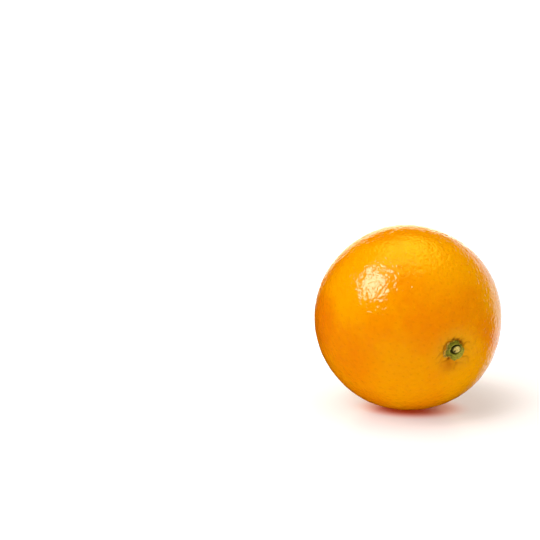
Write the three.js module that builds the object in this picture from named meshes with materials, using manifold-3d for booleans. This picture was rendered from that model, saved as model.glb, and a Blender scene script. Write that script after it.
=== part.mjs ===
// An orange as picked, lying on its side with the green button and the cut stalk still on it.
// Millimetres, +Z up. The origin is the centre of the small flat spot that the fruit rests on.
// The stem end faces -Y and dips a little below the horizontal.
import * as THREE from "three";
import { mergeVertices } from "three/addons/utils/BufferGeometryUtils.js";
import Module from "manifold-3d";

const wasm = await Module();
wasm.setup();

// Whole fruit
const EQUATOR_RADIUS = 37.5;
const POLAR_RADIUS = 36.9;
const STEM_DIP = 8.3; // degrees below the horizontal
const REST_SPOT_RADIUS = 4.8;

// Soft swellings and flatter places: direction (degrees from the stem pole and round the stem axis),
// height and angular spread in degrees
const SWELLS = [
  { polar: 60, round: -50, height: 0.55, spread: 26 },
  { polar: 98, round: 62, height: -0.65, spread: 30 },
  { polar: 120, round: 128, height: -0.25, spread: 28 },
  { polar: 74, round: -98, height: -0.3, spread: 24 },
  { polar: 92, round: -136, height: -0.25, spread: 22 },
  { polar: 135, round: 0, height: 0.4, spread: 36 },
  { polar: 45, round: 170, height: 0.25, spread: 20 },
];

// Pores of the peel, larger than life, spread evenly over the whole fruit
const PORE_COUNT = 560;
const PORE_DEPTH = 0.24;
const PORE_RADIUS = 2.6;
const PORE_SCATTER = 0.035;

// Stem end
const DIMPLE_DEPTH = 1.5;
const DIMPLE_RADIUS = 4.6;
const SEAT_RADIUS = 3.3;
const CREASE_DEPTH = 0.42;
const CREASE_START = 2.8;
const CREASE_HALF_WIDTH = 0.75;
// Each crease: its place round the stem axis in degrees, and how far from the axis it fades out
const CREASES = [
  { round: 24, end: 15 },
  { round: 55, end: 8 },
  { round: 82, end: 10 },
  { round: 112, end: 8 },
  { round: 139, end: 9.5 },
  { round: 164, end: 8 },
  { round: 189, end: 11 },
  { round: 215, end: 8 },
  { round: 238, end: 9.5 },
  { round: 261, end: 11.5 },
  { round: 289, end: 8 },
  { round: 327, end: 11 },
  { round: 353, end: 8.5 },
];

// Stylar scar at the far pole
const SCAR_DEPTH = 0.45;
const SCAR_RADIUS = 1.7;

// Green button
const GAP = 0.3; // clearance between touching pieces
const BUTTON_RADIUS = 3.6;
const LOBES = [
  { round: 4, reach: 0.75, halfWidth: 34 },
  { round: 90, reach: 0.95, halfWidth: 31 },
  { round: 149, reach: 1.05, halfWidth: 27 },
  { round: 206, reach: 0.9, halfWidth: 26 },
  { round: 292, reach: 1.1, halfWidth: 37 },
];
const WELL_X = 0.1;
const WELL_Y = 0.65;
const WELL_RADIUS = 2.1;
const WELL_FLOOR = 0.5;
const RIM_HEIGHT = 1.75;
const RIM_WIDTH = 0.85;
const SHOULDER_HEIGHT = 1.05;
const LOBE_THICKNESS = 0.6;

// Cut stalk
const STUB_RADIUS = 1.65;
const STUB_HEIGHT = 0.75;
const STUB_BEVEL = 0.18;

// Mesh density
const FRUIT_SIDES = 80;
const STEM_END_RINGS = 20;
const STEM_END_RADIUS = 13;
const BODY_RINGS = 44;
const BUTTON_SIDES = 45;
const BUTTON_TOP_RINGS = 12;
const BUTTON_UNDER_RINGS = 3;
const STUB_SIDES = 20;

const rad = THREE.MathUtils.degToRad;
const smooth = THREE.MathUtils.smoothstep;

// Unit vector at an angle from the stem axis (+Z here) and an angle round it
function direction(polar, round) {
  return new THREE.Vector3(
    Math.sin(polar) * Math.cos(round),
    Math.sin(polar) * Math.sin(round),
    Math.cos(polar),
  );
}

const swells = SWELLS.map((s) => ({
  axis: direction(rad(s.polar), rad(s.round)),
  height: s.height,
  spread: rad(s.spread),
}));

// The smooth body with its swellings and the dimple, and with no creases or pores
function bodyRadius(unit) {
  const polar = unit.angleTo(new THREE.Vector3(0, 0, 1));
  let radius = 1 / Math.hypot(Math.sin(polar) / EQUATOR_RADIUS, Math.cos(polar) / POLAR_RADIUS);
  for (const s of swells) {
    radius += s.height * Math.exp(-((unit.angleTo(s.axis) / s.spread) ** 2));
  }
  const fromAxis = Math.max(0, EQUATOR_RADIUS * polar - SEAT_RADIUS);
  return radius - DIMPLE_DEPTH * Math.exp(-((fromAxis / DIMPLE_RADIUS) ** 2));
}

// Signed difference of two angles round the axis
function turnBetween(a, b) {
  return Math.atan2(Math.sin(a - b), Math.cos(a - b));
}

// Depth of the radial creases round the button
function creaseDepth(fromAxis, round) {
  let depth = 0;
  for (const crease of CREASES) {
    const across = (fromAxis * turnBetween(round, rad(crease.round))) / CREASE_HALF_WIDTH;
    const along = smooth(fromAxis, CREASE_START, CREASE_START + 1) * (1 - smooth(fromAxis, 4, crease.end));
    depth = Math.max(depth, CREASE_DEPTH * along * Math.exp(-(across ** 2)));
  }
  return depth;
}

// Pore centres on a golden-angle spiral from pole to pole, each moved a little at random
const pores = [];
THREE.MathUtils.seededRandom(7);
for (let i = 0; i < PORE_COUNT; i++) {
  const axis = direction(Math.acos(1 - (2 * i + 1) / PORE_COUNT), i * Math.PI * (3 - Math.sqrt(5)));
  axis.x += PORE_SCATTER * (THREE.MathUtils.seededRandom() - 0.5);
  axis.y += PORE_SCATTER * (THREE.MathUtils.seededRandom() - 0.5);
  axis.z += PORE_SCATTER * (THREE.MathUtils.seededRandom() - 0.5);
  pores.push({ axis, depth: PORE_DEPTH * (0.6 + 0.8 * THREE.MathUtils.seededRandom()) });
}

// Depth of the pores at a place on the peel
function poreDepth(unit) {
  let depth = 0;
  for (const pore of pores) {
    const away = (EQUATOR_RADIUS * unit.distanceTo(pore.axis)) / PORE_RADIUS;
    if (away < 1) depth = Math.max(depth, pore.depth * (1 - away ** 2));
  }
  return depth;
}

// Turns a point of the stem-axis frame into the part's own frame
const tilt = new THREE.Quaternion().setFromAxisAngle(new THREE.Vector3(1, 0, 0), rad(90 + STEM_DIP));

// Height of the fruit's centre over the flat spot
const belowCentre = new THREE.Vector3(0, 0, -1).applyQuaternion(tilt.clone().invert());
const CENTRE_HEIGHT = Math.sqrt(bodyRadius(belowCentre) ** 2 - REST_SPOT_RADIUS ** 2);

// Radius of the finished peel
function peelRadius(unit) {
  const polar = unit.angleTo(new THREE.Vector3(0, 0, 1));
  const round = Math.atan2(unit.y, unit.x);
  const fromAxis = EQUATOR_RADIUS * polar;
  const fromScar = EQUATOR_RADIUS * (Math.PI - polar);
  const fromSpot = EQUATOR_RADIUS * unit.angleTo(belowCentre);
  const porous = smooth(fromAxis, 9, 14) * smooth(fromScar, 3, 6) * smooth(fromSpot, 6, 9);
  const scar = SCAR_DEPTH * Math.exp(-((fromScar / SCAR_RADIUS) ** 2));
  return bodyRadius(unit) - scar - creaseDepth(fromAxis, round) - porous * poreDepth(unit);
}

// A closed mesh as a solid, with its shared points merged and its collapsed triangles dropped
function solidOf(geometry) {
  geometry.deleteAttribute("normal");
  geometry.deleteAttribute("uv");
  const merged = mergeVertices(geometry);
  const corners = merged.index.array;
  const kept = [];
  for (let i = 0; i < corners.length; i += 3) {
    const [a, b, c] = corners.slice(i, i + 3);
    if (a !== b && b !== c && c !== a) kept.push(a, b, c);
  }
  return new wasm.Manifold(
    new wasm.Mesh({
      numProp: 3,
      vertProperties: merged.attributes.position.array,
      triVerts: new Uint32Array(kept),
    }),
  );
}

// A solid as a three.js geometry
function geometryOf(solid) {
  const mesh = solid.getMesh();
  const geometry = new THREE.BufferGeometry();
  geometry.setAttribute("position", new THREE.BufferAttribute(mesh.vertProperties, 3));
  geometry.setIndex(new THREE.BufferAttribute(mesh.triVerts, 1));
  geometry.computeVertexNormals();
  return geometry;
}

// A closed shape turned round the stem axis, with each point placed by a function of its ring and turn
function turnedShape(rings, sides, place) {
  const profile = [];
  for (let ring = 0; ring <= rings; ring++) {
    const inside = ring > 0 && ring < rings;
    profile.push(new THREE.Vector2(inside ? 1 : 0, ring));
  }
  const geometry = new THREE.LatheGeometry(profile, sides);
  const position = geometry.attributes.position;
  for (let side = 0; side <= sides; side++) {
    for (let ring = 0; ring <= rings; ring++) {
      const round = (2 * Math.PI * (side % sides)) / sides;
      const point = place(ring, round);
      position.setXYZ(side * (rings + 1) + ring, point.x, point.y, point.z);
    }
  }
  return geometry;
}

// Angle from the stem axis of each ring of the fruit: close rings round the stem end, wider ones beyond
function fruitRingAngle(ring) {
  const stemEnd = STEM_END_RADIUS / EQUATOR_RADIUS;
  if (ring <= STEM_END_RINGS) return (stemEnd * ring) / STEM_END_RINGS;
  return stemEnd + ((Math.PI - stemEnd) * (ring - STEM_END_RINGS)) / BODY_RINGS;
}

function fruitGeometry() {
  const rings = STEM_END_RINGS + BODY_RINGS;
  const shape = turnedShape(rings, FRUIT_SIDES, (ring, round) => {
    const unit = direction(fruitRingAngle(rings - ring), round);
    return unit.multiplyScalar(peelRadius(unit));
  });
  shape.applyQuaternion(tilt);
  shape.translate(0, 0, CENTRE_HEIGHT);
  const under = new THREE.BoxGeometry(100, 100, 20).translate(0, 0, -10);
  return geometryOf(solidOf(shape).subtract(solidOf(under)));
}

// Outline of the button: a rounded body with five broad lobes
function buttonEdge(round) {
  let edge = BUTTON_RADIUS;
  for (const lobe of LOBES) {
    const across = turnBetween(round, rad(lobe.round)) / rad(lobe.halfWidth);
    if (Math.abs(across) < 1) edge += lobe.reach * (1 - across ** 2);
  }
  return edge;
}

// Thickness of the button over its underside, from the well's floor over the rim to the thin lobes
function buttonThickness(x, y, share) {
  const fromWell = Math.hypot(x - WELL_X, y - WELL_Y);
  const rim = Math.exp(-(((fromWell - WELL_RADIUS - RIM_WIDTH / 2) / RIM_WIDTH) ** 2));
  const outer = THREE.MathUtils.lerp(SHOULDER_HEIGHT, LOBE_THICKNESS, smooth(share, 0.6, 1));
  const outside = outer + (RIM_HEIGHT - SHOULDER_HEIGHT) * rim;
  return THREE.MathUtils.lerp(WELL_FLOOR, outside, smooth(fromWell, WELL_RADIUS - 0.25, WELL_RADIUS + 0.25));
}

// Point of the button at a distance from the stem axis and a height over the fruit's smooth body
function overBody(fromAxis, round, height) {
  const unit = direction(fromAxis / EQUATOR_RADIUS, round);
  return unit.multiplyScalar(bodyRadius(unit) + GAP + height);
}

function buttonGeometry() {
  const rings = BUTTON_UNDER_RINGS + 1 + BUTTON_TOP_RINGS;
  const shape = turnedShape(rings, BUTTON_SIDES, (ring, round) => {
    const edge = buttonEdge(round);
    if (ring <= BUTTON_UNDER_RINGS) return overBody((edge * ring) / BUTTON_UNDER_RINGS, round, 0);
    const share = (rings - ring) / BUTTON_TOP_RINGS;
    const fromAxis = edge * share;
    const height = buttonThickness(fromAxis * Math.cos(round), fromAxis * Math.sin(round), share);
    return overBody(fromAxis, round, height);
  });
  return geometryOf(solidOf(shape));
}

function stubGeometry() {
  const profile = [
    new THREE.Vector2(0, 0),
    new THREE.Vector2(STUB_RADIUS, 0),
    new THREE.Vector2(STUB_RADIUS, STUB_HEIGHT - STUB_BEVEL),
    new THREE.Vector2(STUB_RADIUS - STUB_BEVEL, STUB_HEIGHT),
    new THREE.Vector2(0, STUB_HEIGHT),
  ];
  const shape = new THREE.LatheGeometry(profile, STUB_SIDES);
  shape.rotateX(Math.PI / 2);
  return geometryOf(solidOf(shape));
}

const peel = new THREE.MeshStandardMaterial({ color: 0xf08c05, roughness: 0.38, metalness: 0 });
const green = new THREE.MeshStandardMaterial({ color: 0x7d8c33, roughness: 0.6, metalness: 0 });
const cutWood = new THREE.MeshStandardMaterial({ color: 0xcdb872, roughness: 0.8, metalness: 0 });

const fruit = new THREE.Mesh(fruitGeometry(), peel);
fruit.name = "fruit";

// The button and the stalk stand on the stem axis, which this group tilts
const stemEnd = new THREE.Group();
stemEnd.quaternion.copy(tilt);
stemEnd.position.set(0, 0, CENTRE_HEIGHT);

const calyx = new THREE.Mesh(buttonGeometry(), green);
calyx.name = "calyx";
stemEnd.add(calyx);

const stub = new THREE.Mesh(stubGeometry(), cutWood);
stub.name = "stem_stub";
const seatHeight = bodyRadius(direction(0, 0)) + GAP;
stub.position.set(WELL_X, WELL_Y, seatHeight + WELL_FLOOR + GAP);
stemEnd.add(stub);

const orange = new THREE.Group();
orange.add(fruit, stemEnd);

export default orange;
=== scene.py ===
# %% [markdown]
# # An orange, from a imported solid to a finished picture
#
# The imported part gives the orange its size, its tilt and its place: a whole fruit, the green button at its
# stem end and the cut end of the stalk. This lesson dresses that frame. Each piece is modelled again with
# a finer surface and gets the finish of the real thing, and then the camera and the light are set.

# %% The frame, and the modules that the lesson uses
import math

import bpy
from mathutils import Matrix, Vector, noise
from mathutils.bvhtree import BVHTree


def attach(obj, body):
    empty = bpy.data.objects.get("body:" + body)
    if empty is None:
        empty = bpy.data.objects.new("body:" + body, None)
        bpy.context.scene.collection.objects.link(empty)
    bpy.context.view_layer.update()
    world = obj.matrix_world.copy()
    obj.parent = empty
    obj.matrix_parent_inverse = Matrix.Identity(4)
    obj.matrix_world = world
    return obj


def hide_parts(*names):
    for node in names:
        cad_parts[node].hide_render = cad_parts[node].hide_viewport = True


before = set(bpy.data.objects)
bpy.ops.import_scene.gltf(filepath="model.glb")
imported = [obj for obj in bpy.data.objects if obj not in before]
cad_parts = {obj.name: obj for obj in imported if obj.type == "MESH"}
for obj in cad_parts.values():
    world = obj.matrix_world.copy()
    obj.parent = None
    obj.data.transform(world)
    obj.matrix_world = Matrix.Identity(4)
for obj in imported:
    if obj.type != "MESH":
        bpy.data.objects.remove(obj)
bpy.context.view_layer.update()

print("nodes:", sorted(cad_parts))

# %% [markdown]
# ## Units and small helpers
#
# Everything in the scene is in metres, while a fruit is measured in millimetres, so sizes are written as a
# number times MM. Colours are written as the hex values that a paint program shows, and one function turns
# them into the linear values that the renderer works in. One more function adds a node, sets its values and
# links what feeds it, for materials and for geometry nodes alike. Most finishes are built up in layers, as
# with paint, so a third function lays one hue over what is there.

# %% Units and colours
MM = 0.001


def colour(hex_value):
    """A linear RGBA colour from an sRGB hex value such as f08c05."""
    channels = [int(hex_value[i:i + 2], 16) / 255 for i in (0, 2, 4)]
    linear = [c / 12.92 if c <= 0.04045 else ((c + 0.055) / 1.055) ** 2.4 for c in channels]
    return (*linear, 1.0)


print("ripe orange in linear values:", [round(channel, 3) for channel in colour("f08c05")])

# %% Nodes and layers of colour
def add_node(tree, kind, inputs=None, **settings):
    """Adds a node. A value in inputs sets that socket, and a socket in inputs is linked to it."""
    node = tree.nodes.new(kind)
    for name, value in settings.items():
        setattr(node, name, value)
    for key, value in (inputs or {}).items():
        if isinstance(value, bpy.types.NodeSocket):
            tree.links.new(value, node.inputs[key])
        else:
            node.inputs[key].default_value = value
    return node


def lay_over(tree, tone, hue, pattern, low, high, start=0.0, end=1.0):
    """Lays a hue over a tone. Its share goes softly from start, where the pattern is low, to end."""
    share = add_node(tree, "ShaderNodeMapRange", {
        "Value": pattern, "From Min": low, "From Max": high, "To Min": start, "To Max": end},
        interpolation_type="SMOOTHSTEP")
    # Inputs 6 and 7 of this node are its two colours, and output 2 is the mixed one
    layers = add_node(tree, "ShaderNodeMix", {
        "Factor": share.outputs[0], 6: tone, 7: colour(hue)}, data_type="RGBA")
    return layers.outputs[2]


# %% Selecting and finishing
def deselect_all():
    """Leaves nothing selected, because an operator acts on all that is."""
    for thing in bpy.context.selected_objects:
        thing.select_set(False)


def make_active(piece):
    """Selects one object alone, ready for an operator."""
    deselect_all()
    piece.select_set(True)
    bpy.context.view_layer.objects.active = piece


def apply_modifier(piece, kind, **settings):
    """Adds a modifier, sets it and applies it."""
    make_active(piece)
    modifier = piece.modifiers.new(kind.lower(), kind)
    for name, value in settings.items():
        setattr(modifier, name, value)
    bpy.ops.object.modifier_apply(modifier=modifier.name)


def store(piece, name, values):
    """Keeps one number for each point of a piece, for its material to read."""
    attribute = piece.data.attributes.new(name, "FLOAT", "POINT")
    attribute.data.foreach_set("value", values)


# %% Soft steps and angles
def smoothstep(value, low, high):
    """0 below low, 1 above high, and an even S-curve between."""
    t = min(1.0, max(0.0, (value - low) / (high - low)))
    return t * t * (3 - 2 * t)


def turn_between(a, b):
    """The signed difference of two angles, in radians, the short way round."""
    return math.atan2(math.sin(a - b), math.cos(a - b))


print("a quarter of the way up an S-curve:", round(smoothstep(0.25, 0, 1), 3))

# %% [markdown]
# ## The camera
#
# The photograph was taken with a long lens from a little above the table. A long lens flattens a round
# thing only slightly, so the fruit keeps a nearly circular outline. The camera is placed from four values:
# how far it looks down, how far it stands round the fruit, its distance, and the place in the 540 by 540
# pixel frame where the fruit's centre has to fall.

# %% The camera
FRAME_PIXELS = 540
FRUIT_PIXEL = (407.5, 317.1)
LENS = 100.0
SENSOR = 36.0
LOOK_DOWN = math.radians(12.4)
CAMERA_ROUND = math.radians(-26.0)
CAMERA_DISTANCE = 603 * MM
FRUIT_CENTRE = Vector((0, 0, 36.97 * MM))

camera_data = bpy.data.cameras.new("camera")
camera_data.lens = LENS
camera_data.sensor_width = SENSOR
camera = bpy.data.objects.new("camera", camera_data)
bpy.context.scene.collection.objects.link(camera)
camera.rotation_euler = (math.pi / 2 - LOOK_DOWN, 0, CAMERA_ROUND)

pixels_per_unit = FRAME_PIXELS * LENS / SENSOR
to_fruit = Vector((
    (FRUIT_PIXEL[0] - FRAME_PIXELS / 2) / pixels_per_unit,
    (FRAME_PIXELS / 2 - FRUIT_PIXEL[1]) / pixels_per_unit,
    -1.0,
)).normalized()
camera.location = FRUIT_CENTRE - camera.rotation_euler.to_matrix() @ to_fruit * CAMERA_DISTANCE
bpy.context.scene.camera = camera
print("camera at", [round(v / MM) for v in camera.location], "mm")

# %% Sides as the camera sees them
# back points level from the fruit towards the camera, and right to the picture's right
sight = FRUIT_CENTRE - camera.location
back = Vector((-sight.x, -sight.y, 0)).normalized()
right = Vector((-back.y, back.x, 0))
print("the picture's right is", [round(v, 2) for v in right])

# %% [markdown]
# ## The table
#
# The fruit lies on a light table: a sheet of white acrylic that glows from below and runs on into a white
# background. A plain grey floor would need a wall behind it, and from some sides the wall would stand in
# the way. A glow that grows with the distance from the fruit gives the same seamless white all round. The
# glow is dimmed as a painted shadow in a patch behind the fruit on the right, where its soft shadow falls.
# Right under the fruit the glow is dimmed and turned warm, as painted contact shade and painted light
# bounced off the peel. Acrylic is a little glossy, so the fruit's underside shows faintly in it.

# %% The light table
# Its edge is too far away to be seen, and it lies just clear of the fruit's flat spot
TABLE_RADIUS = 30.0
TABLE_SIDES = 96
TABLE_DROP = 0.05 * MM

deselect_all()
bpy.ops.mesh.primitive_circle_add(
    vertices=TABLE_SIDES, radius=TABLE_RADIUS, fill_type="NGON", location=(0, 0, -TABLE_DROP))
table = bpy.context.object
table.name = "light_table"
# The wax doesn't mirror the table, whose glow would wash the fruit's underside out
table.visible_glossy = False
print("table:", round(2 * TABLE_RADIUS), "m across")

# %% Places on the table
# The painted shadow in the glow is centred this far to the right and away from the camera
SHADE_SHIFT = 14 * MM
# The painted contact shade and the warm painted bounce are centred a little to the right of the fruit's
# middle and towards the camera. Sideways distances count for less, so that painted patch is longer that way.
CONTACT_RIGHT = 1.5 * MM
CONTACT_FORWARD = 2 * MM
CONTACT_SQUASH = 0.35

acrylic = bpy.data.materials.new("white_acrylic_sheet")
acrylic.use_nodes = True
tree = acrylic.node_tree
spot = add_node(tree, "ShaderNodeTexCoord").outputs["Object"]
sideways = add_node(tree, "ShaderNodeVectorMath", {0: spot, 1: right}, operation="DOT_PRODUCT")
squash = add_node(tree, "ShaderNodeVectorMath", {
    0: right * -CONTACT_SQUASH, "Scale": sideways.outputs["Value"]}, operation="SCALE")
squashed = add_node(tree, "ShaderNodeVectorMath", {0: spot, 1: squash.outputs[0]}, operation="ADD")
contact_middle = right * CONTACT_RIGHT + back * CONTACT_FORWARD
from_contact = add_node(tree, "ShaderNodeVectorMath", {
    0: squashed.outputs[0], 1: contact_middle}, operation="DISTANCE").outputs["Value"]
shade_middle = (right - back) * SHADE_SHIFT
from_shade = add_node(tree, "ShaderNodeVectorMath", {
    0: spot, 1: shade_middle}, operation="DISTANCE").outputs["Value"]
print("middle of the shade:", [round(v / MM, 1) for v in shade_middle], "mm")

# %% Glow of the table
# Each edge is a pair of distances, between which one strength of glow turns into the next
SHADE_EDGE = (20 * MM, 45 * MM)
SHADE_GLOW = 0.4
NEAR_GLOW = 0.61
FAR_EDGE = (44 * MM, 110 * MM)
FAR_GLOW = 0.9
CONTACT_EDGE = (5.5 * MM, 14 * MM)
PAINTED_CONTACT_SHADE = 0.4
PAINTED_BOUNCE_EDGE = (5.5 * MM, 16.5 * MM)

glows = []
for distance, edge, weak, strong in (
        (from_shade, SHADE_EDGE, SHADE_GLOW, NEAR_GLOW),
        (from_shade, FAR_EDGE, 0.0, FAR_GLOW - NEAR_GLOW),
        (from_contact, CONTACT_EDGE, PAINTED_CONTACT_SHADE, 1.0)):
    glows.append(add_node(tree, "ShaderNodeMapRange", {
        "Value": distance, "From Min": edge[0], "From Max": edge[1], "To Min": weak, "To Max": strong},
        interpolation_type="SMOOTHSTEP").outputs[0])
near_glow, far_glow, painted_contact_shade = glows
# Near and far glow add up. Round the shade middle they are dimmed as painted shadow, and at the contact only
# a share is kept, as painted contact shade.
glow = add_node(tree, "ShaderNodeMath", {0: near_glow, 1: far_glow}, operation="ADD")
glow = add_node(tree, "ShaderNodeMath", {0: glow.outputs[0], 1: painted_contact_shade}, operation="MULTIPLY")
# Near the contact the glow turns orange-red: painted light bounced off the peel
glow_tone = lay_over(tree, colour("ff5214"), "fff9f8", from_contact, *PAINTED_BOUNCE_EDGE)
sheet = tree.nodes["Principled BSDF"]
sheet.inputs["Base Color"].default_value = colour("b6b4b3")
sheet.inputs["Roughness"].default_value = 0.3
sheet.inputs["IOR"].default_value = 1.25
tree.links.new(glow_tone, sheet.inputs["Emission Color"])
tree.links.new(glow.outputs[0], sheet.inputs["Emission Strength"])
table.data.materials.append(acrylic)
print("table finish:", len(tree.nodes), "nodes")

# %% [markdown]
# ## The light
#
# The studio has a softbox high on the left, a wide one overhead, and white all round. Waxed peel shows
# such lights twice: as plain light on the skin, and as a mirror image in the wax. The two are easier to
# balance apart, so two lamps light only the skin, and a third shows only in the wax. The world is white to
# the camera, and it gives the skin a fill that is white on the right and a deep warm brown on the left. In
# its place the wax mirrors three soft panels: a screen behind the fruit on the right, a pale backdrop
# straight behind it, and a yellow glow overhead.

# %% The lamps
def add_softbox(name, sideways, up, towards, size, power, tint="ffffff", mirrored=False):
    """A square area lamp, placed in metres from the fruit as the camera sees it, facing the fruit."""
    data = bpy.data.lights.new(name, "AREA")
    data.shape = "SQUARE"
    data.size = size
    data.energy = power
    data.color = colour(tint)[:3]
    lamp = bpy.data.objects.new(name, data)
    bpy.context.scene.collection.objects.link(lamp)
    lamp.location = FRUIT_CENTRE + right * sideways + back * towards + Vector((0, 0, up))
    lamp.rotation_euler = (FRUIT_CENTRE - lamp.location).to_track_quat("-Z", "Y").to_euler()
    lamp.visible_glossy = mirrored
    lamp.visible_diffuse = not mirrored


add_softbox("key_on_skin", sideways=-0.8, up=1.2, towards=0.6, size=0.9, power=8)
add_softbox("overhead_on_skin", sideways=-0.25, up=1.45, towards=0.1, size=1.2, power=17)
add_softbox("key_in_wax", sideways=-0.99, up=1.15, towards=0.58, size=0.82, power=31,
            tint="fbf8ff", mirrored=True)
print("lamps:", [light.name for light in bpy.data.lights])

# %% Panels that the wax mirrors
world = bpy.data.worlds.new("white_studio")
bpy.context.scene.world = world
world.use_nodes = True
world.cycles.sampling_method = "NONE"
sky = world.node_tree
sky.nodes.clear()
toward = add_node(sky, "ShaderNodeTexCoord").outputs["Generated"]


def add_panel(sideways, up, towards, edge, full, tint, strength):
    """Light from round one direction: full within one angle of it, fading to none at a wider one."""
    axis = (right * sideways + back * towards + Vector((0, 0, up))).normalized()
    along = add_node(sky, "ShaderNodeVectorMath", {0: toward, 1: axis}, operation="DOT_PRODUCT")
    bright = add_node(sky, "ShaderNodeMapRange", {
        "Value": along.outputs["Value"], "From Min": math.cos(math.radians(edge)),
        "From Max": math.cos(math.radians(full)), "To Max": strength}, interpolation_type="SMOOTHSTEP")
    return add_node(sky, "ShaderNodeBackground", {
        "Color": colour(tint), "Strength": bright.outputs[0]}).outputs[0]


screen = add_panel(
    sideways=0.44, up=-0.1, towards=-0.88, edge=28, full=16, tint="ffffff", strength=1.15)
backdrop = add_panel(
    sideways=-0.09, up=0.04, towards=-1.0, edge=19, full=13, tint="fff0c8", strength=2.2)
overhead = add_panel(
    sideways=-0.02, up=0.98, towards=-0.17, edge=36, full=4, tint="ffdc40", strength=6.0)
behind = add_node(sky, "ShaderNodeAddShader", {0: screen, 1: backdrop})
in_wax = add_node(sky, "ShaderNodeAddShader", {0: behind.outputs[0], 1: overhead})
print("panels:", sum(node.type == "BACKGROUND" for node in sky.nodes))

# %% Fill, and the white behind
FILL = 0.4
# The fill is warm where the cosine to the right is below the first number, and white above the second
FILL_TURN = (-0.6, 0.5)
BACKGROUND = 1.3

to_right = add_node(sky, "ShaderNodeVectorMath", {0: toward, 1: right}, operation="DOT_PRODUCT")
fill_tone = lay_over(sky, colour("903f12"), "ffffff", to_right.outputs["Value"], *FILL_TURN)
fill = add_node(sky, "ShaderNodeBackground", {"Color": fill_tone, "Strength": FILL})
seen = add_node(sky, "ShaderNodeBackground", {"Color": colour("ffffff"), "Strength": BACKGROUND})
ray = add_node(sky, "ShaderNodeLightPath")
unseen = add_node(sky, "ShaderNodeMixShader", {
    0: ray.outputs["Is Glossy Ray"], 1: fill.outputs[0], 2: in_wax.outputs[0]})
all_round = add_node(sky, "ShaderNodeMixShader", {
    0: ray.outputs["Is Camera Ray"], 1: unseen.outputs[0], 2: seen.outputs[0]})
add_node(sky, "ShaderNodeOutputWorld", {"Surface": all_round.outputs[0]})
bpy.context.scene.view_settings.view_transform = "Standard"
print("world:", len(sky.nodes), "nodes")

# %% [markdown]
# ## The fruit's body
#
# An orange is nearly a ball, with soft swellings, a shallow dimple at the stem end and a small flat spot
# where its own weight presses it flat. It could be sculpted or turned on a lathe. Here a cube is divided,
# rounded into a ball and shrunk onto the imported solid, so that it takes the solid's exact form without
# the crowded poles of a lathe. One of the cube's corners points along the stem, because the grid is
# finest at the corners and the creases round the button need it.

# %% Rounded cube
STEM_DIP = math.radians(8.3)
CUBE_CUTS = 31
BALL_RADIUS = 37.3 * MM
CUBE_SIDE = 1.5 * BALL_RADIUS

# In the stem's own frame the fruit's centre is the origin, and +Z runs out through the button
stem_axis = Vector((0, -math.cos(STEM_DIP), -math.sin(STEM_DIP)))
stem_frame = Matrix.Translation(FRUIT_CENTRE) @ Matrix.Rotation(math.pi / 2 + STEM_DIP, 4, "X")
to_stem_frame = stem_frame.inverted()
corner_turn = Vector((1, 1, 1)).rotation_difference(stem_axis)

deselect_all()
bpy.ops.mesh.primitive_cube_add(size=CUBE_SIDE, rotation=corner_turn.to_euler())
fruit = bpy.context.object
fruit.name = "orange_peel"
bpy.ops.object.mode_set(mode="EDIT")
bpy.ops.mesh.select_all(action="SELECT")
bpy.ops.mesh.subdivide(number_cuts=CUBE_CUTS)
bpy.ops.object.mode_set(mode="OBJECT")
apply_modifier(fruit, "CAST", cast_type="SPHERE", factor=1.0, use_radius_as_size=False, size=BALL_RADIUS)
fruit.location = FRUIT_CENTRE
bpy.ops.object.transform_apply(location=True, rotation=True, scale=True)
print("ball:", len(fruit.data.polygons), "faces")

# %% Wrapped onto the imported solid
BODY_SMOOTHING = 6
LOST_TO_SMOOTHING = 0.1 * MM

apply_modifier(
    fruit, "SHRINKWRAP", target=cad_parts["fruit"], wrap_method="NEAREST_SURFACEPOINT")
apply_modifier(fruit, "SMOOTH", factor=0.5, iterations=BODY_SMOOTHING)
apply_modifier(fruit, "DISPLACE", direction="NORMAL", mid_level=0.0, strength=LOST_TO_SMOOTHING)
apply_modifier(fruit, "SUBSURF", levels=2, render_levels=2)
bpy.ops.object.shade_smooth()
print("wrapped:", [round(v / MM, 1) for v in fruit.dimensions], "mm")

# %% [markdown]
# ## Creases, painted cleft shade and the scar
#
# The peel is drawn in round the button in short creases, like cloth round a drawstring. Each crease is a
# line out from the stem, given by its place round the stem and how far out it fades. The points near a
# crease get a weight, and a Displace modifier pushes them in by it. The same weights are kept for the
# material, which darkens each crease as painted shade. The painted shade in the clefts of the button, a
# brownish patch beside it, partly painted shade, and the small scar that the flower left at the far pole
# are only colour, so they are kept as weights and push nothing in.

# %% Shape of a crease
# Each crease: angle round the stem, where it starts and ends in millimetres from the axis, and its depth
CREASES = (
    (26, 3.4, 8.0, 1.0), (19, 8.0, 15.0, 0.35), (52, 3.2, 7.0, 0.7), (72, 3.6, 8.0, 0.6),
    (96, 4.4, 8.0, 0.5), (124, 5.0, 8.5, 0.3), (150, 5.5, 9.5, 0.4), (176, 5.5, 9.0, 0.5),
    (191, 6.0, 10.0, 0.7), (205, 5.0, 10.5, 0.6), (222, 4.0, 10.0, 0.8), (240, 3.2, 8.0, 0.6),
    (256, 4.0, 9.5, 0.5), (278, 4.5, 10.0, 0.7), (300, 5.0, 8.5, 0.5), (326, 4.5, 11.0, 0.8),
    (353, 4.0, 8.0, 0.4))
# The lengths are in millimetres. A crease sways from side to side by some degrees on its way out, once in
# about 5 mm.
CREASE_HALF_WIDTH = 0.4
CREASE_SWAY = 6
CREASE_SWAY_RATE = 1.3
CREASE_FADE_IN = 0.6
CREASE_FULL = 1


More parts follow.
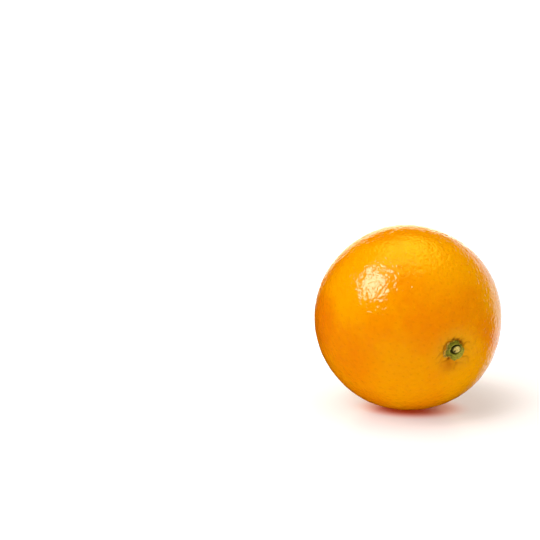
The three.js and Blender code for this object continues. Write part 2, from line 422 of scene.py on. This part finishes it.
def crease_weight(from_axis, round_axis):
    """How deep the creases are at a place, from 0 to 1. Distances are in millimetres."""
    deepest = 0.0
    for turn, start, end, depth in CREASES:
        sway = math.radians(CREASE_SWAY * math.sin(turn + CREASE_SWAY_RATE * from_axis))
        away = turn_between(math.radians(turn) + sway, round_axis)
        across = from_axis * away / CREASE_HALF_WIDTH
        begun = smoothstep(from_axis, start - CREASE_FADE_IN, start + CREASE_FADE_IN)
        along = begun * (1 - smoothstep(from_axis, start + CREASE_FULL, end))
        deepest = max(deepest, depth * along * math.exp(-across * across))
    return deepest


print("creases:", len(CREASES))

# %% Pressing the creases in
CREASE_DEPTH = 0.26 * MM
CREASE_REACH = 16
CREASE_LEAST = 0.01

places = [to_stem_frame @ vertex.co for vertex in fruit.data.vertices]
creases = [0.0] * len(places)
for i, place in enumerate(places):
    from_axis = math.hypot(place.x, place.y) / MM
    if place.z > 0 and from_axis < CREASE_REACH:
        creases[i] = crease_weight(from_axis, math.atan2(place.y, place.x))
crease_group = fruit.vertex_groups.new(name="creases")
for i, weight in enumerate(creases):
    if weight > CREASE_LEAST:
        crease_group.add([i], weight, "REPLACE")
apply_modifier(fruit, "DISPLACE", direction="NORMAL", mid_level=0.0, strength=-CREASE_DEPTH,
               vertex_group="creases")
store(fruit, "crease", creases)
print("creased:", sum(weight > CREASE_LEAST for weight in creases), "points")

# %% Scar at the far pole
# In millimetres. The noise that makes its edge ragged has 900 bumps to the metre, so each is 1.1 mm wide.
SCAR_RADIUS = 1.5
SCAR_REACH = 4.5
SCAR_RAGGED = 0.6
SCAR_NOISE_RATE = 900

scars = [0.0] * len(places)
for i, place in enumerate(places):
    from_axis = math.hypot(place.x, place.y) / MM
    if place.z < 0 and from_axis < SCAR_REACH:
        spread = noise.noise(place * SCAR_NOISE_RATE) * SCAR_RAGGED
        scars[i] = math.exp(-((from_axis / (SCAR_RADIUS + spread)) ** 4))
store(fruit, "scar", scars)
print("scarred:", sum(weight > 0.5 for weight in scars), "points")

# %% Shape of the painted shade in a cleft
# Each painted shade in a cleft: angle round the stem in degrees, then millimetres: how far out its middle
# lies, how far it reaches round the stem and outwards. Last comes how dark it is.
CLEFT_SHADES = (
    {"round": 38, "out": 3.75, "long": 1.0, "wide": 0.45, "dark": 0.8},
    {"round": 60, "out": 3.85, "long": 1.6, "wide": 0.6, "dark": 1.0},
    {"round": 84, "out": 4.55, "long": 1.2, "wide": 0.45, "dark": 0.9},
    {"round": 106, "out": 4.95, "long": 0.8, "wide": 0.45, "dark": 1.0},
    {"round": 158, "out": 5.5, "long": 1.9, "wide": 0.4, "dark": 0.7},
    {"round": 230, "out": 3.9, "long": 0.7, "wide": 0.8, "dark": 1.0},
)


def cleft_shade_weight(x, y):
    """How dark the painted shade in the clefts of the button is at a place, in millimetres from the axis."""
    weight = 0.0
    for cleft_shade in CLEFT_SHADES:
        turn = math.radians(cleft_shade["round"])
        outward = x * math.cos(turn) + y * math.sin(turn) - cleft_shade["out"]
        around = -x * math.sin(turn) + y * math.cos(turn)
        spread = (outward / cleft_shade["wide"]) ** 2 + (around / cleft_shade["long"]) ** 2
        weight = max(weight, cleft_shade["dark"] * math.exp(-spread))
    return weight


print("stains:", len(CLEFT_SHADES))

# %% Painted cleft shade, and the patch beside the button, partly painted shade
PATCH_ROUND = math.radians(248)
PATCH_OUT = 6.0
PATCH_SPREAD = 3.1

cleft_shades = [0.0] * len(places)
patches = [0.0] * len(places)
patch_centre = Vector((math.cos(PATCH_ROUND), math.sin(PATCH_ROUND))) * PATCH_OUT
for i, place in enumerate(places):
    flat = Vector((place.x, place.y)) / MM
    if place.z > 0 and flat.length < CREASE_REACH:
        cleft_shades[i] = cleft_shade_weight(flat.x, flat.y)
        patches[i] = math.exp(-((flat - patch_centre).length / PATCH_SPREAD) ** 2)
store(fruit, "cleft_shade", cleft_shades)
store(fruit, "patch", patches)
print("cleft_shaded:", sum(weight > 0.5 for weight in cleft_shades), "points")

# %% [markdown]
# ## Pores
#
# The peel is full of oil glands, and over each one the skin sinks into a round pore. The pores could be
# drawn with bump alone, but then the outline and the edge of the gloss would stay too smooth. Geometry
# nodes do it instead, in the way that one would prick the skin by hand: they scatter points evenly over
# it, measure how far each place is from its nearest point, and push the skin in there. Large and small
# pores are two such scatters, and noise adds a slow swell. A third scatter is kept as faint dots for the
# material. Last, whatever would sink into the table is pressed flat.

# %% Scattered pits
# So many more points are asked for than fit that the spacing alone decides where they go
CROWDING = 4


def add_pits(tree, surface, seed, spacing, radius):
    """Evenly scattered round pits: 1 in the middle of a pit, 0 on the skin between."""
    scatter = add_node(tree, "GeometryNodeDistributePointsOnFaces", {
        "Mesh": surface, "Distance Min": spacing, "Density Max": CROWDING / spacing ** 2, "Seed": seed},
        distribute_method="POISSON")
    near = add_node(tree, "GeometryNodeProximity", {0: scatter.outputs["Points"]}, target_element="POINTS")
    return add_node(tree, "ShaderNodeMapRange", {
        "Value": near.outputs["Distance"], "From Max": radius, "To Min": 1.0, "To Max": 0.0},
        interpolation_type="SMOOTHSTEP").outputs[0]


relief = bpy.data.node_groups.new("peel_relief", "GeometryNodeTree")
relief.interface.new_socket("Geometry", in_out="INPUT", socket_type="NodeSocketGeometry")
relief.interface.new_socket("Geometry", in_out="OUTPUT", socket_type="NodeSocketGeometry")
skin = add_node(relief, "NodeGroupInput").outputs[0]
large = add_pits(relief, skin, seed=3, spacing=1.9 * MM, radius=0.85 * MM)
small = add_pits(relief, skin, seed=8, spacing=1.2 * MM, radius=0.65 * MM)
dots = add_pits(relief, skin, seed=5, spacing=2.6 * MM, radius=0.6 * MM)
print("scatters:", sum(node.bl_idname == "GeometryNodeProximity" for node in relief.nodes))

# %% Pores and swell
LARGE_PORE_DEPTH = 0.12 * MM
SMALL_PORE_DEPTH = 0.06 * MM
SWELL_SPACING = 3.2 * MM
SWELL_HEIGHT = 0.34 * MM

spot = add_node(relief, "GeometryNodeInputPosition").outputs[0]
normal = add_node(relief, "GeometryNodeInputNormal").outputs[0]
swell = add_node(relief, "ShaderNodeTexNoise", {"Vector": spot, "Scale": 1 / SWELL_SPACING, "Detail": 1.0})
depth = add_node(relief, "ShaderNodeMath", {
    0: swell.outputs["Fac"], 1: SWELL_HEIGHT, 2: -SWELL_HEIGHT / 2}, operation="MULTIPLY_ADD")
depth = add_node(relief, "ShaderNodeMath", {
    0: large, 1: -LARGE_PORE_DEPTH, 2: depth.outputs[0]}, operation="MULTIPLY_ADD")
depth = add_node(relief, "ShaderNodeMath", {
    0: small, 1: -SMALL_PORE_DEPTH, 2: depth.outputs[0]}, operation="MULTIPLY_ADD")
shift = add_node(relief, "ShaderNodeVectorMath", {0: normal, "Scale": depth.outputs[0]}, operation="SCALE")
marked = add_node(relief, "GeometryNodeStoreNamedAttribute", {
    "Geometry": skin, "Name": "dot", "Value": dots}, data_type="FLOAT", domain="POINT")
porous = add_node(relief, "GeometryNodeSetPosition", {
    "Geometry": marked.outputs[0], "Offset": shift.outputs[0]})
add_node(relief, "NodeGroupOutput", {0: porous.outputs[0]})
apply_modifier(fruit, "NODES", node_group=relief)
print("pores:", len(fruit.data.vertices), "points,", list(fruit.data.attributes.keys()))

# %% Flat spot
for vertex in fruit.data.vertices:
    vertex.co.z = max(vertex.co.z, 0.0)
lowest = min(vertex.co.z for vertex in fruit.data.vertices)
print("lowest point:", round(lowest / MM, 3), "mm")

# %% [markdown]
# ## Orange peel
#
# The outer peel is a thin waxy skin over orange oil glands. It is glossy, a little light gets into it, and
# its colour is not even. Noise gives the fine mottling. The broad golden and deep orange patches, some
# partly painted light and shade, are placed by a short list, because a noise would put them anywhere. The
# stem end is more golden and each gland shows as a faint darker dot. The kept weights paint shade into the
# creases and the clefts of the button, darken the patch beside it, partly as painted shade, and colour the
# scar.

# %% Ground tone of the peel
PATCHY_SIZE = 20 * MM
MOTTLE_SIZE = 3 * MM

peel = bpy.data.materials.new("waxed_orange_peel")
peel.use_nodes = True
tree = peel.node_tree
spot = add_node(tree, "ShaderNodeTexCoord").outputs["Object"]
patchy, mottle = (
    add_node(tree, "ShaderNodeTexNoise", {"Vector": spot, "Scale": 1 / size, "Detail": 3.0}).outputs["Fac"]
    for size in (PATCHY_SIZE, MOTTLE_SIZE))
tone = lay_over(tree, colour("f69200"), "f8a200", patchy, 0.3, 0.7)
tone = lay_over(tree, tone, "ee8600", mottle, 0.3, 0.75, 0.0, 0.5)
print("ground tone:", len(tree.nodes), "nodes")

# %% Golden and deep patches, some partly painted light and shade
# Each patch: angle from the stem end, angle round the stem, how wide it spreads (degrees), tone, strength
# The golden patch high up stands partly for painted light under the overhead lamp, and the deep ones on the
# left limb and low on the left partly for painted shade
TONE_AND_PAINTED_LIGHT_PATCHES = (
    (32, -145, 38, "f8a600", 0.6), (26, -50, 30, "f9aa00", 0.8), (80, 142, 32, "fcaa00", 0.7),
    (56, 95, 32, "fba800", 0.7), (24, 138, 20, "f38400", 0.5), (100, 180, 24, "ea7000", 0.55),
    (66, -168, 22, "ec7c00", 0.4), (24, 92, 16, "f08a00", 0.4), (50, 33, 28, "ffae00", 0.75))
# How much the noise, which is 0.5 on the average, frays a patch's edge
FRAY = 0.2

outward = add_node(tree, "ShaderNodeVectorMath", {0: spot, 1: FRUIT_CENTRE}, operation="SUBTRACT")
outward = add_node(tree, "ShaderNodeVectorMath", {0: outward.outputs[0]}, operation="NORMALIZE")
for polar, turn, spread, hue, strength in TONE_AND_PAINTED_LIGHT_PATCHES:
    tilt, turn = math.radians(polar), math.radians(turn)
    axis = Vector((math.sin(tilt) * math.cos(turn), math.sin(tilt) * math.sin(turn), math.cos(tilt)))
    along = add_node(tree, "ShaderNodeVectorMath", {
        0: outward.outputs[0], 1: stem_frame.to_3x3() @ axis}, operation="DOT_PRODUCT")
    frayed = add_node(tree, "ShaderNodeMath", {
        0: patchy, 1: FRAY, 2: along.outputs["Value"]}, operation="MULTIPLY_ADD")
    edge = math.cos(math.radians(spread)) + FRAY / 2
    tone = lay_over(tree, tone, hue, frayed.outputs[0], edge, 1 + FRAY / 2, 0.0, strength)
print("patches:", len(TONE_AND_PAINTED_LIGHT_PATCHES))

# %% Golden stem end
STEM_GOLD_SHARE = 0.9
STEM_GOLD_EDGE = (3 * MM, 13 * MM)

stem_spot = add_node(tree, "ShaderNodeMapping", {
    "Vector": spot, "Location": stem_frame.to_translation(), "Rotation": stem_frame.to_euler()},
    vector_type="TEXTURE")
stem_parts = add_node(tree, "ShaderNodeSeparateXYZ", {0: stem_spot.outputs[0]})
stem_flat = add_node(tree, "ShaderNodeCombineXYZ", {
    "X": stem_parts.outputs["X"], "Y": stem_parts.outputs["Y"]})
from_axis = add_node(tree, "ShaderNodeVectorMath", {0: stem_flat.outputs[0]}, operation="LENGTH")
near_stem = add_node(tree, "ShaderNodeMapRange", {
    "Value": from_axis.outputs["Value"], "From Min": STEM_GOLD_EDGE[0], "From Max": STEM_GOLD_EDGE[1],
    "To Min": STEM_GOLD_SHARE, "To Max": 0.0}, interpolation_type="SMOOTHSTEP")
at_stem = add_node(tree, "ShaderNodeMath", {0: stem_parts.outputs["Z"], 1: 0.0}, operation="GREATER_THAN")
golden = add_node(tree, "ShaderNodeMath", {
    0: near_stem.outputs[0], 1: at_stem.outputs[0]}, operation="MULTIPLY")
tone = add_node(tree, "ShaderNodeMix", {
    "Factor": golden.outputs[0], 6: tone, 7: colour("f0a816")}, data_type="RGBA").outputs[2]
print("golden end:", [round(v / MM) for v in STEM_GOLD_EDGE], "mm from the stem")

# %% Dots, creases and stains
# Dots and the scar are colour of the peel. The creases and the clefts are darkened as painted shade, and the
# patch beside the button partly so.
for name, dark, strength in (
        ("dot", "c07000", 0.28), ("crease", "a86000", 0.5), ("patch", "d47000", 0.6),
        ("cleft_shade", "6a2a04", 0.9), ("scar", "5a3c1c", 0.9)):
    weight = add_node(tree, "ShaderNodeAttribute", attribute_name=name).outputs["Fac"]
    share = add_node(tree, "ShaderNodeMath", {0: weight, 1: strength}, operation="MULTIPLY")
    tone = add_node(tree, "ShaderNodeMix", {
        "Factor": share.outputs[0], 6: tone, 7: colour(dark)}, data_type="RGBA").outputs[2]
print("peel colour:", len(tree.nodes), "nodes")

# %% Fine relief of the skin
# The real skin's grain is finer than this, and is drawn as coarse as it needs to show
GRAIN_SIZE = 0.9 * MM
GRAIN_BUMP = 0.022 * MM
# Furrows run where a wider noise passes its middle value, and this is how far from it they reach
FURROW_SPACING = 2.4 * MM
FURROW_REACH = 0.12
FURROW_DEPTH = 0.05 * MM
DOT_DEPTH = 0.05 * MM

fine = add_node(tree, "ShaderNodeTexNoise", {"Vector": spot, "Scale": 1 / GRAIN_SIZE, "Detail": 2.0})
skin_bump = add_node(tree, "ShaderNodeBump", {"Height": fine.outputs["Fac"], "Distance": GRAIN_BUMP})
furrows = add_node(tree, "ShaderNodeTexNoise", {"Vector": spot, "Scale": 1 / FURROW_SPACING, "Detail": 1.0})
level = add_node(tree, "ShaderNodeMath", {0: furrows.outputs["Fac"], 1: 0.5}, operation="SUBTRACT")
level = add_node(tree, "ShaderNodeMath", {0: level.outputs[0]}, operation="ABSOLUTE")
banks = add_node(tree, "ShaderNodeMapRange", {
    "Value": level.outputs[0], "From Max": FURROW_REACH}, interpolation_type="SMOOTHSTEP")
furrow_bump = add_node(tree, "ShaderNodeBump", {
    "Height": banks.outputs[0], "Distance": FURROW_DEPTH, "Normal": skin_bump.outputs[0]})
dot = add_node(tree, "ShaderNodeAttribute", attribute_name="dot").outputs["Fac"]
dot_bump = add_node(tree, "ShaderNodeBump", {
    "Height": dot, "Distance": DOT_DEPTH, "Normal": furrow_bump.outputs[0]}, invert=True)
print("relief:", round(GRAIN_BUMP / MM, 3), "mm of grain,", round(FURROW_DEPTH / MM, 3), "mm of furrows")

# %% Wax and flesh
WAX_ROUGHNESS = (0.07, 0.11)

wax = add_node(tree, "ShaderNodeMapRange", {
    "Value": mottle, "From Min": 0.3, "From Max": 0.7, "To Min": WAX_ROUGHNESS[0],
    "To Max": WAX_ROUGHNESS[1]}, interpolation_type="SMOOTHSTEP")
shader = tree.nodes["Principled BSDF"]
tree.links.new(tone, shader.inputs["Base Color"])
tree.links.new(dot_bump.outputs[0], shader.inputs["Normal"])
tree.links.new(wax.outputs[0], shader.inputs["Roughness"])
shader.inputs["IOR"].default_value = 1.45
shader.inputs["Specular Tint"].default_value = colour("fff6dc")
shader.inputs["Subsurface Weight"].default_value = 0.12
shader.inputs["Subsurface Radius"].default_value = (1.0, 0.35, 0.08)
shader.inputs["Subsurface Scale"].default_value = 2.5 * MM
fruit.data.materials.append(peel)
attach(fruit, "root")
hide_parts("fruit")
print("peel:", len(tree.nodes), "nodes")

# %% [markdown]
# ## The green button
#
# The button is the calyx, the dried cup of small leaves that held the flower. It is a thick green ring
# with five short broad lobes pressed onto the peel, and the cut stalk stands in the well in its middle. It
# could be cut from a disc, but the ring and the lobes run into each other, so it is drawn as a row of
# rings instead: a small disc is extruded ring by ring, and each ring is then laid in its place, up the
# wall of the well, over the rim, out to the thin margin and back underneath.

# %% Outline of the button
# Lengths are in millimetres
BUTTON_RADIUS = 3.3
# Each lobe: angle round the stem, how far it reaches past the ring, and its half width in degrees
LOBES = ((324, 0.95, 58), (101, 1.1, 38), (140, 2.05, 34), (188, 2.3, 32), (274, 0.7, 40))
LOBE_BLUNTNESS = 0.8
# Each wave of the ragged margin: how far it swings, how many go round, and where the first one stands
RAGS = ((0.08, 11, 0), (0.06, 23, 1))


def button_edge(round_axis):
    """How far the margin of the button is from the stem axis, in millimetres."""
    longest = 0.0
    for turn, reach, half_width in LOBES:
        across = turn_between(round_axis, math.radians(turn)) / math.radians(half_width)
        if abs(across) < 1:
            longest = max(longest, reach * (1 - across ** 2) ** LOBE_BLUNTNESS)
    ragged = sum(size * math.sin(count * round_axis + phase) for size, count, phase in RAGS)
    return BUTTON_RADIUS + longest + ragged


print("lobes:", len(LOBES))

# %% Drawing the rings
BUTTON_SIDES = 120
RING_STEP = 0.1 * MM
WELL_CENTRE = Vector((-0.7, 1.15, 0)) * MM
WELL_LONG = 2.2 * MM
WELL_SHORT = 1.8 * MM
# Each ring: how far it lies on the way from the well to the margin, and its height over the peel in
# millimetres
BUTTON_TOP = (
    (0.0, 0.35), (0.03, 0.75), (0.07, 1.2), (0.14, 1.52), (0.24, 1.65), (0.35, 1.48), (0.46, 1.1),
    (0.58, 0.82), (0.7, 0.78), (0.82, 0.7), (0.92, 0.52), (0.98, 0.38), (1.0, 0.26))
BUTTON_UNDER = ((0.98, 0.12), (0.8, 0.04), (0.5, 0.0), (0.2, 0.0))

deselect_all()
bpy.ops.mesh.primitive_circle_add(vertices=BUTTON_SIDES, radius=WELL_SHORT, fill_type="TRIFAN")
button = bpy.context.object
button.name = "button_calyx"
rings = BUTTON_TOP + BUTTON_UNDER
bpy.ops.object.mode_set(mode="EDIT")
bpy.ops.mesh.select_all(action="SELECT")
bpy.ops.mesh.region_to_loop()
for ring in rings[1:]:
    bpy.ops.mesh.extrude_region_move(TRANSFORM_OT_translate={"value": (0, 0, -RING_STEP)})
bpy.ops.mesh.edge_face_add()
bpy.ops.mesh.poke()
bpy.ops.object.mode_set(mode="OBJECT")
print("button:", len(button.data.vertices), "points before the rings are placed")

# %% Height of the peel
RAY_START = 60 * MM

peel_tree = BVHTree.FromPolygons(
    [vertex.co for vertex in fruit.data.vertices], [face.vertices for face in fruit.data.polygons])


def peel_height(x, y):
    """Height of the peel over the fruit's centre along the stem axis, at a place beside that axis."""
    start = stem_frame @ Vector((x, y, RAY_START))
    place, normal, face, distance = peel_tree.ray_cast(start, -stem_axis)
    return (to_stem_frame @ place).z


print("peel in the dimple:", round(peel_height(0, 0) / MM, 2), "mm from the centre")

# %% Waves of the rim, flutes and veins
# Each wave of the rim: height in millimetres, how many go round, and where the first one stands
RIM_WAVES = ((0.14, 3, 0.6), (0.08, 8, 2.0))
RIM_EDGE = (0.05, 0.2)
FLUTE_HEIGHT = 0.07
FLUTES = 19
FLUTE_TWIST = 2
VEIN_HEIGHT = 0.15
VEIN_WIDTH = math.radians(8)
LEAF_EDGE = (0.25, 0.6)


def leaf_relief(round_axis, share):
    """How high the button's top is raised there by its waves, flutes and veins, in millimetres."""
    height = 0.0
    for size, count, phase in RIM_WAVES:
        height += size * math.sin(count * round_axis + phase) * smoothstep(share, *RIM_EDGE)
    on_leaf = smoothstep(share, *LEAF_EDGE)
    height += FLUTE_HEIGHT * math.sin(FLUTES * round_axis + FLUTE_TWIST * share) * on_leaf
    nearest = min(abs(turn_between(round_axis, math.radians(turn))) for turn, reach, width in LOBES)
    return height + VEIN_HEIGHT * on_leaf * math.exp(-((nearest / VEIN_WIDTH) ** 2))


print("relief at a lobe's tip:", round(leaf_relief(math.radians(LOBES[0][0]), 1.0), 2), "mm")

# %% Placing the rings
BUTTON_GAP = 0.06 * MM
# One side of the button gets a painted highlight, strongest at this angle round the stem
PAINTED_LIT_SIDE = math.radians(-40)
PAPERY_SIDE = math.radians(184)

shares = []
turns = []
for vertex in button.data.vertices:
    ring = round(-vertex.co.z / RING_STEP)
    round_axis = math.atan2(vertex.co.y, vertex.co.x)
    outward = Vector((math.cos(round_axis), math.sin(round_axis), 0))
    share, height = rings[ring]
    at_well = WELL_CENTRE + Vector((outward.x * WELL_LONG, outward.y * WELL_SHORT, 0))
    at_margin = outward * button_edge(round_axis) * MM
    # The first ring and the last one are filled, and the middle point of each stays on the well's axis
    if vertex.co.xy.length < RING_STEP:
        at_well = at_margin = WELL_CENTRE
    flat = at_well.lerp(at_margin, share)
    on_top = ring < len(BUTTON_TOP)
    if on_top and ring > 0:
        height += leaf_relief(round_axis, share)
    vertex.co = (flat.x, flat.y, peel_height(flat.x, flat.y) + BUTTON_GAP + height * MM)
    shares.append(share if on_top else 1.0)
    turns.append(round_axis)
store(button, "share", shares)
store(button, "painted_lit_side", [max(0.0, math.cos(turn - PAINTED_LIT_SIDE)) for turn in turns])
store(button, "papery", [max(0.0, math.cos(turn - PAPERY_SIDE)) ** 2 for turn in turns])
print("button:", round(max(v.co.xy.length for v in button.data.vertices) / MM, 1), "mm out at most")

# %% Rounding and wrinkling the button
WRINKLE_SIZE = 0.5 * MM
WRINKLE_HEIGHT = 0.22 * MM

make_active(button)
bpy.ops.object.mode_set(mode="EDIT")
bpy.ops.mesh.select_all(action="SELECT")
bpy.ops.mesh.normals_make_consistent(inside=False)
bpy.ops.object.mode_set(mode="OBJECT")
apply_modifier(button, "SUBSURF", levels=2, render_levels=2)
wrinkles = bpy.data.textures.new("calyx_wrinkles", "CLOUDS")
wrinkles.noise_scale = WRINKLE_SIZE
wrinkles.noise_depth = 3
apply_modifier(button, "DISPLACE", texture=wrinkles, texture_coords="LOCAL", direction="NORMAL",
               mid_level=0.5, strength=WRINKLE_HEIGHT)
make_active(button)
button.matrix_world = stem_frame
bpy.ops.object.transform_apply(location=True, rotation=True, scale=True)
bpy.ops.object.shade_smooth()
print("button:", len(button.data.polygons), "faces,", [round(v / MM, 1) for v in button.dimensions], "mm")

# %% [markdown]
# ## Calyx finish
#
# The calyx is a dry green leaf: matt, green on the ring, darker in a fine grain, and tan and papery along
# its margins. The crest of its rim and one side are lightened as painted highlight, and the well is
# darkened as painted shade. The share of the way out, kept for each point, tells the material where the
# well, the ring and the margin are, and noise breaks up the borders.

# %% Calyx material
BLOTCH_SIZE = 1.1 * MM
LEAF_GRAIN = 0.35 * MM

calyx = bpy.data.materials.new("dry_calyx_leaf")
calyx.use_nodes = True
tree = calyx.node_tree
spot = add_node(tree, "ShaderNodeTexCoord").outputs["Object"]
blotch, grain = (
    add_node(tree, "ShaderNodeTexNoise", {"Vector": spot, "Scale": 1 / size, "Detail": 3.0}).outputs["Fac"]
    for size in (BLOTCH_SIZE, LEAF_GRAIN))
share, painted_lit_side, papery = (
    add_node(tree, "ShaderNodeAttribute", attribute_name=name).outputs["Fac"]
    for name in ("share", "painted_lit_side", "papery"))
print("calyx patterns:", len(tree.nodes), "nodes")

# %% Greens of the leaf, from the well out to the papery margin
# The rim's crest gets this share of a lighter green as painted highlight
PAINTED_CREST_SHARE = 0.8

inside = add_node(tree, "ShaderNodeMapRange", {
    "Value": share, "From Min": 0.1, "From Max": 0.2}, interpolation_type="SMOOTHSTEP")
outside = add_node(tree, "ShaderNodeMapRange", {
    "Value": share, "From Min": 0.28, "From Max": 0.4, "To Min": PAINTED_CREST_SHARE, "To Max": 0.0},
    interpolation_type="SMOOTHSTEP")
painted_crest_highlight = add_node(tree, "ShaderNodeMath", {0: inside.outputs[0], 1: outside.outputs[0]}, operation="MULTIPLY")
tone = lay_over(tree, colour("6c6800"), "8e8c08", blotch, 0.35, 0.65)
# One side and the crest of the rim are lightened as painted highlight
for weight, hue in ((painted_lit_side, "b8b02c"), (painted_crest_highlight.outputs[0], "aeae36")):
    tone = add_node(tree, "ShaderNodeMix", {
        "Factor": weight, 6: tone, 7: colour(hue)}, data_type="RGBA").outputs[2]
uneven = add_node(tree, "ShaderNodeMath", {0: blotch, 1: 0.5, 2: share}, operation="MULTIPLY_ADD")
uneven = add_node(tree, "ShaderNodeMath", {
    0: papery, 1: 0.3, 2: uneven.outputs[0]}, operation="MULTIPLY_ADD")
tone = lay_over(tree, tone, "d0a030", uneven.outputs[0], 1.15, 1.4)
tone = lay_over(tree, tone, "403c00", grain, 0.45, 0.65, 0.0, 0.7)
# Down in the well the green turns dark olive as painted shade
tone = lay_over(tree, tone, "483e00", share, 0.02, 0.1, 0.9, 0.0)
print("calyx colour:", len(tree.nodes), "nodes")

# %% Dry surface of the leaf
LEAF_BUMP = 0.05 * MM
LEAF_ROUGHNESS = (0.5, 0.7)

rough = add_node(tree, "ShaderNodeBump", {"Height": grain, "Distance": LEAF_BUMP})
matt = add_node(tree, "ShaderNodeMapRange", {
    "Value": blotch, "From Min": 0.3, "From Max": 0.7, "To Min": LEAF_ROUGHNESS[0],
    "To Max": LEAF_ROUGHNESS[1]}, interpolation_type="SMOOTHSTEP")
shader = tree.nodes["Principled BSDF"]
tree.links.new(tone, shader.inputs["Base Color"])
tree.links.new(rough.outputs[0], shader.inputs["Normal"])
tree.links.new(matt.outputs[0], shader.inputs["Roughness"])
shader.inputs["IOR"].default_value = 1.3
button.data.materials.append(calyx)
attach(button, "root")
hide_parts("calyx")
print("calyx:", len(tree.nodes), "nodes")

# %% [markdown]
# ## The cut stalk
#
# The fruit was clipped from its twig, so a short stub of stalk stands in the well. A lathed profile would
# be too even, so a plain cylinder gives its start. Its top is bevelled and inset in steps, which rounds it
# and leaves points enough for a noise to roughen it, and the stub is made a little oval last.

# %% Stub of the stalk
STUB_SIDES = 48
STUB_RADIUS = 1.45 * MM
STUB_BASE = 0.3 * MM
STUB_TOP = 1.45 * MM
STUB_PLACE = WELL_CENTRE + Vector((0.5, -0.12, 0)) * MM
STUB_BEVEL = 0.16 * MM
STUB_INSETS = (0.2 * MM, 0.35 * MM, 0.35 * MM, 0.3 * MM)
TOP_MARGIN = 0.01 * MM

deselect_all()
bpy.ops.mesh.primitive_cylinder_add(
    vertices=STUB_SIDES, radius=STUB_RADIUS, depth=STUB_TOP - STUB_BASE, end_fill_type="NGON",
    location=STUB_PLACE + Vector((0, 0, (STUB_TOP + STUB_BASE) / 2)))
stub = bpy.context.object
stub.name = "stalk_stub"
bpy.ops.object.transform_apply(location=True, rotation=True, scale=True)
for face in stub.data.polygons:
    face.select = face.normal.z > 0.9
for edge in stub.data.edges:
    edge.select = False
for vertex in stub.data.vertices:
    vertex.select = vertex.co.z > STUB_TOP - TOP_MARGIN
bpy.ops.object.mode_set(mode="EDIT")
bpy.ops.mesh.select_mode(type="FACE")
bpy.ops.mesh.bevel(offset=STUB_BEVEL, segments=2)
for width in STUB_INSETS:
    bpy.ops.mesh.inset(thickness=width)
bpy.ops.mesh.poke()
bpy.ops.object.mode_set(mode="OBJECT")
print("stub:", len(stub.data.polygons), "faces before it is rounded")

# %% Roughening and seating the stub
STUB_STRETCH = 1.2
PITH_GRAIN = 0.35 * MM
PITH_HEIGHT = 0.16 * MM
VESSEL_PLACE = STUB_PLACE + Vector((-0.95, -0.6, 0)) * MM
VESSEL_RADIUS = 0.36 * MM

apply_modifier(stub, "SUBSURF", levels=2, render_levels=2)
pith = bpy.data.textures.new("pith_grain", "CLOUDS")
pith.noise_scale = PITH_GRAIN
pith.noise_depth = 3
apply_modifier(stub, "DISPLACE", texture=pith, texture_coords="LOCAL", direction="NORMAL",
               mid_level=0.5, strength=PITH_HEIGHT)
store(stub, "from_middle", [(v.co.xy - STUB_PLACE.xy).length / STUB_RADIUS for v in stub.data.vertices])
seat = peel_height(STUB_PLACE.x, STUB_PLACE.y) + BUTTON_GAP
for vertex in stub.data.vertices:
    vertex.co.x = STUB_PLACE.x + (vertex.co.x - STUB_PLACE.x) * STUB_STRETCH
    vertex.co.z += seat
store(stub, "vessel", [
    math.exp(-((v.co.xy - VESSEL_PLACE.xy).length / VESSEL_RADIUS) ** 2) for v in stub.data.vertices])
make_active(stub)
stub.matrix_world = stem_frame
bpy.ops.object.transform_apply(location=True, rotation=True, scale=True)
bpy.ops.object.shade_smooth()
print("stub:", len(stub.data.polygons), "faces,", [round(v / MM, 1) for v in stub.dimensions], "mm")

# %% [markdown]
# ## Cut pith
#
# The cut end is young wood that has dried in the air: matt pale pith, a ring of green bark round it, and
# one dark vessel. The distances from the middle and from the vessel are kept for each point, so the ring
# follows the stub's own outline, which a pattern in space would cross.

# %% Stalk material
PITH_SPOTS = 0.4 * MM
PITH_BUMP = 0.05 * MM

stalk = bpy.data.materials.new("cut_stalk_pith")
stalk.use_nodes = True
tree = stalk.node_tree
spot = add_node(tree, "ShaderNodeTexCoord").outputs["Object"]
grain = add_node(tree, "ShaderNodeTexNoise", {
    "Vector": spot, "Scale": 1 / PITH_SPOTS, "Detail": 3.0}).outputs["Fac"]
from_middle, vessel = (
    add_node(tree, "ShaderNodeAttribute", attribute_name=name).outputs["Fac"]
    for name in ("from_middle", "vessel"))
tone = lay_over(tree, colour("b89e44"), "eeda74", grain, 0.35, 0.65)
tone = lay_over(tree, tone, "7f7a2c", from_middle, 0.75, 0.95)
tone = lay_over(tree, tone, "2a1404", vessel, 0.15, 0.5)
rough = add_node(tree, "ShaderNodeBump", {"Height": grain, "Distance": PITH_BUMP})
shader = tree.nodes["Principled BSDF"]
tree.links.new(tone, shader.inputs["Base Color"])
tree.links.new(rough.outputs[0], shader.inputs["Normal"])
shader.inputs["Roughness"].default_value = 0.75
stub.data.materials.append(stalk)
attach(stub, "root")
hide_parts("stem_stub")
print("stalk:", len(tree.nodes), "nodes")
